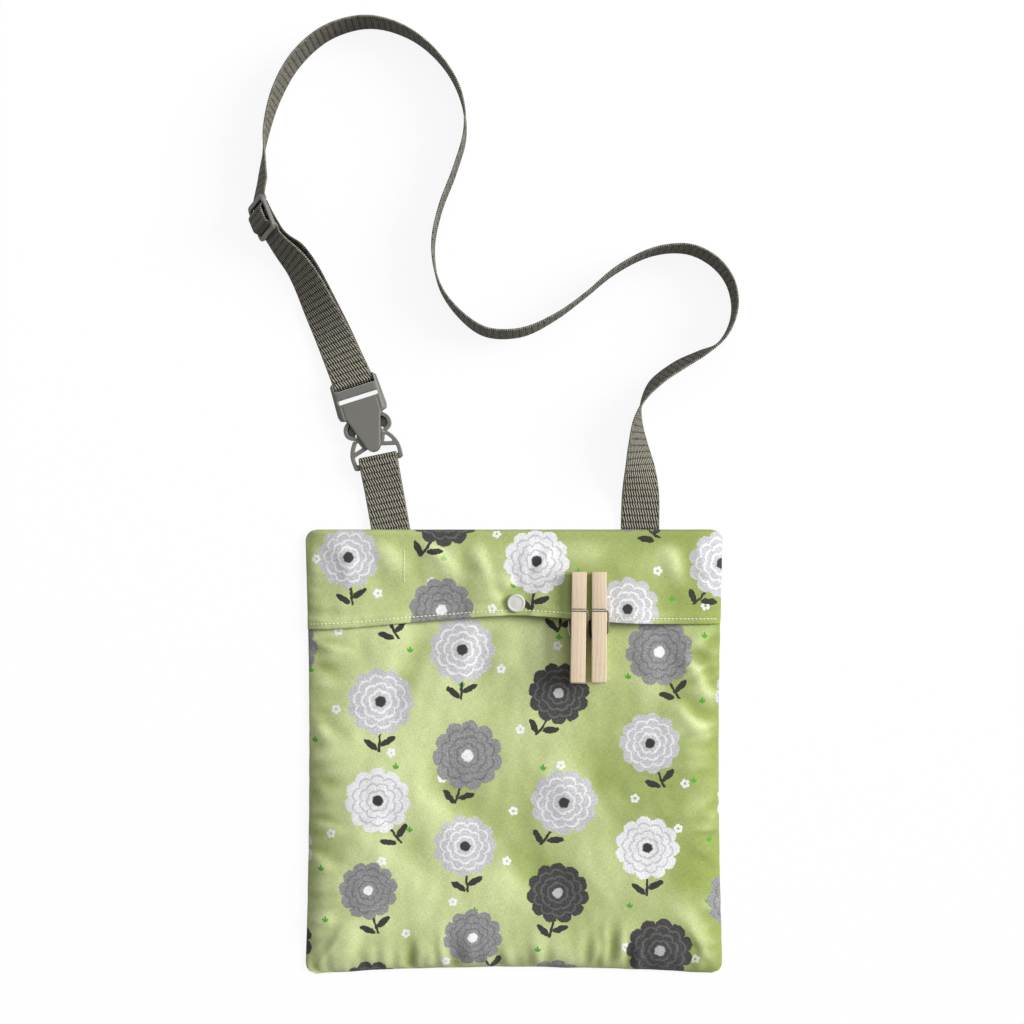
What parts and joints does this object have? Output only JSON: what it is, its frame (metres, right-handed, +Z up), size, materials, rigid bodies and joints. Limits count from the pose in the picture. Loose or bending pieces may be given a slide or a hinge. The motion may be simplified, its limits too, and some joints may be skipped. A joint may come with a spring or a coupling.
{
  "type": "peg bag",
  "caption": "Flat cloth peg bag with an envelope flap, press fastener, long webbing shoulder strap with slider and side-release buckle, and spring pegs clipped to the flap.",
  "frame": {"origin": "middle of the bag's back, on the surface that the bag lies on", "axes": "+Z up off the surface, +Y from the bag's bottom edge to the edge that the strap leaves, +X to the right seen from above"},
  "size_m": [0.3156, 0.6154, 0.0293],
  "materials": {
    "cloth": "printed cotton, matt",
    "webbing": "ribbed polypropylene webbing",
    "moulding": "satin moulded plastic",
    "snap": "off-white plastic press fastener",
    "wood": "bare sanded beech",
    "wire": "bright spring wire"
  },
  "bodies": {
    "bag": {"back_panel": "cloth", "front_panel": "cloth", "snap_stud": "snap", "snap_stud_cap": "snap", "stub_webbing": "webbing", "strap_main": "webbing", "strap_return": "webbing", "buckle_male": "moulding"},
    "flap": {"flap": "cloth", "snap_cap": "snap", "snap_socket": "snap", "peg_left_lower_leg": "wood", "peg_left_spring": "wire", "peg_right_lower_leg": "wood", "peg_right_spring": "wire"},
    "peg_left_upper": {"peg_left_upper_leg": "wood"},
    "peg_right_upper": {"peg_right_upper_leg": "wood"},
    "buckle_socket": {"buckle_female": "moulding"},
    "prong_left": {"buckle_prong_left": "moulding"},
    "prong_right": {"buckle_prong_right": "moulding"},
    "slider": {"tri_glide": "moulding"}
  },
  "joints": [
    {"name": "flap_lift", "type": "hinge", "parent": "bag", "child": "flap", "pos_m": [0, 0.1409, 0.0075], "axis": [-1, 0, 0], "range_deg": [0, 40]},
    {"name": "peg_left_open", "type": "hinge", "parent": "flap", "child": "peg_left_upper", "pos_m": [0.041, 0.0773, 0.0173], "axis": [0.9999, -0.014, 0], "range_deg": [0, 10], "stiffness_Nm_per_rad": 0.5, "springref_deg": -5.73, "deforming": ["peg_left_spring"]},
    {"name": "peg_right_open", "type": "hinge", "parent": "flap", "child": "peg_right_upper", "pos_m": [0.0542, 0.0773, 0.0173], "axis": [1, 0, 0], "range_deg": [0, 10], "stiffness_Nm_per_rad": 0.5, "springref_deg": -5.73, "deforming": ["peg_right_spring"]},
    {"name": "buckle_release", "type": "slide", "parent": "bag", "child": "buckle_socket", "axis": [-0.3024, 0.9532, 0], "range_m": [0, 0.03], "deforming": ["strap_return", "buckle_prong_left", "buckle_prong_right"]},
    {"name": "prong_left_press", "type": "hinge", "parent": "bag", "child": "prong_left", "pos_m": [-0.10296, 0.20249, 0.0049], "axis": [0, 0, -1], "range_deg": [0, 7], "stiffness_Nm_per_rad": 0.3},
    {"name": "prong_right_press", "type": "hinge", "parent": "bag", "child": "prong_right", "pos_m": [-0.08352, 0.20866, 0.0049], "axis": [0, 0, 1], "range_deg": [0, 7], "stiffness_Nm_per_rad": 0.3},
    {"name": "slider_adjust", "type": "slide", "parent": "bag", "child": "slider", "axis": [0.3746, -0.9272, 0], "range_m": [0, 0.02], "deforming": ["strap_main"]}
  ]
}
